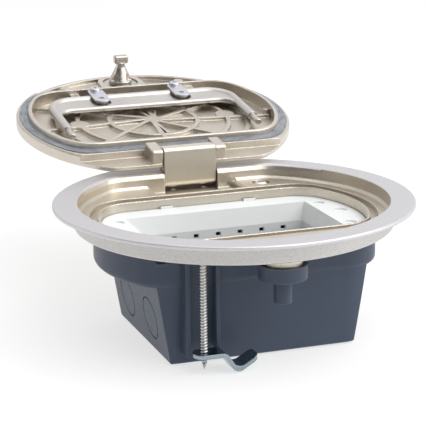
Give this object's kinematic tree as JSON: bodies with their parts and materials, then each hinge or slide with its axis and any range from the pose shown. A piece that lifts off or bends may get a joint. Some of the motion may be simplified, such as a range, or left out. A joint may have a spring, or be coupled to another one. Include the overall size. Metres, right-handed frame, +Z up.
{
  "type": "floor socket box",
  "caption": "Round flush floor box with a double-hinged lockable lid, rain groove, inset frame for wiring devices and claws that clamp it in the floor.",
  "frame": {"origin": "centre of the collar at the underside of the flange, which is the finished floor level", "axes": "+Z up out of the floor, +Y towards the hinge, X along the long side of the device opening"},
  "size_m": [0.17, 0.2812, 0.1048],
  "materials": {
    "cast_nickel": "die casting with a satin champagne nickel plate",
    "steel": "bright plated steel",
    "zinc_plated": "zinc-plated sheet steel",
    "tub_plastic": "blue-grey moulded plastic",
    "white_plastic": "white moulded plastic",
    "gasket_rubber": "blue-grey foamed seal",
    "seal_rubber": "black sealing rubber",
    "earth_brass": "plain brass"
  },
  "bodies": {
    "box": {"floor_ring": "cast_nickel", "tub": "tub_plastic", "tub_seal": "seal_rubber", "lock_cup": "tub_plastic", "device_carrier": "white_plastic", "frame_screws": "steel", "earth_tag": "earth_brass", "earth_screw": "earth_brass", "frame_hinge_pin": "steel", "claw_screw_seals": "seal_rubber"},
    "link": {"hinge_link": "cast_nickel"},
    "lid_body": {"lid": "cast_nickel", "lid_gasket": "gasket_rubber", "lid_hinge_pin": "steel", "bow_clip_left": "zinc_plated", "bow_clip_right": "zinc_plated", "clip_screws": "steel", "lock_washer": "zinc_plated"},
    "bow": {"stay_bow": "cast_nickel"},
    "lock": {"lock_disc": "cast_nickel", "lock_bolt": "cast_nickel", "lock_o_ring": "seal_rubber"},
    "front_screw": {"front_claw_screw": "steel"},
    "front_clamp": {"front_claw": "zinc_plated"},
    "rear_screw": {"rear_claw_screw": "steel"},
    "rear_clamp": {"rear_claw": "zinc_plated"}
  },
  "joints": [
    {"name": "link_hinge", "type": "hinge", "parent": "box", "child": "link", "pos_m": [0, 0.06717, -0.0013], "axis": [-1, 0, 0], "range_deg": [-100.2, 0]},
    {"name": "lid_hinge", "type": "hinge", "parent": "link", "child": "lid_body", "pos_m": [0, 0.06717, 0.00876], "axis": [-1, 0, 0], "range_deg": [-71.06, 0]},
    {"name": "bow_hinge", "type": "hinge", "parent": "lid_body", "child": "bow", "pos_m": [0, 0.15203, 0.02385], "axis": [-1, 0, 0], "range_deg": [0, 95]},
    {"name": "lock_turn", "type": "hinge", "parent": "lid_body", "child": "lock", "pos_m": [0, 0.18578, 0.02215], "axis": [0, -0.152, 0.9884], "range_deg": [0, 90]},
    {"name": "front_claw_turn", "type": "hinge", "parent": "box", "child": "front_screw", "pos_m": [-0.0339, -0.053, -0.03], "axis": [0, 0, -1], "range_deg": [0, 90]},
    {"name": "front_claw_lift", "type": "slide", "parent": "front_screw", "child": "front_clamp", "axis": [0, 0, 1], "range_m": [0, 0.025]},
    {"name": "rear_claw_turn", "type": "hinge", "parent": "box", "child": "rear_screw", "pos_m": [0.0339, 0.053, -0.03], "axis": [0, 0, -1], "range_deg": [0, 90]},
    {"name": "rear_claw_lift", "type": "slide", "parent": "rear_screw", "child": "rear_clamp", "axis": [0, 0, 1], "range_m": [0, 0.025]}
  ],
  "couplings": [
    {"joint": "lid_hinge", "follows": "link_hinge", "ratio": 0.7091}
  ]
}
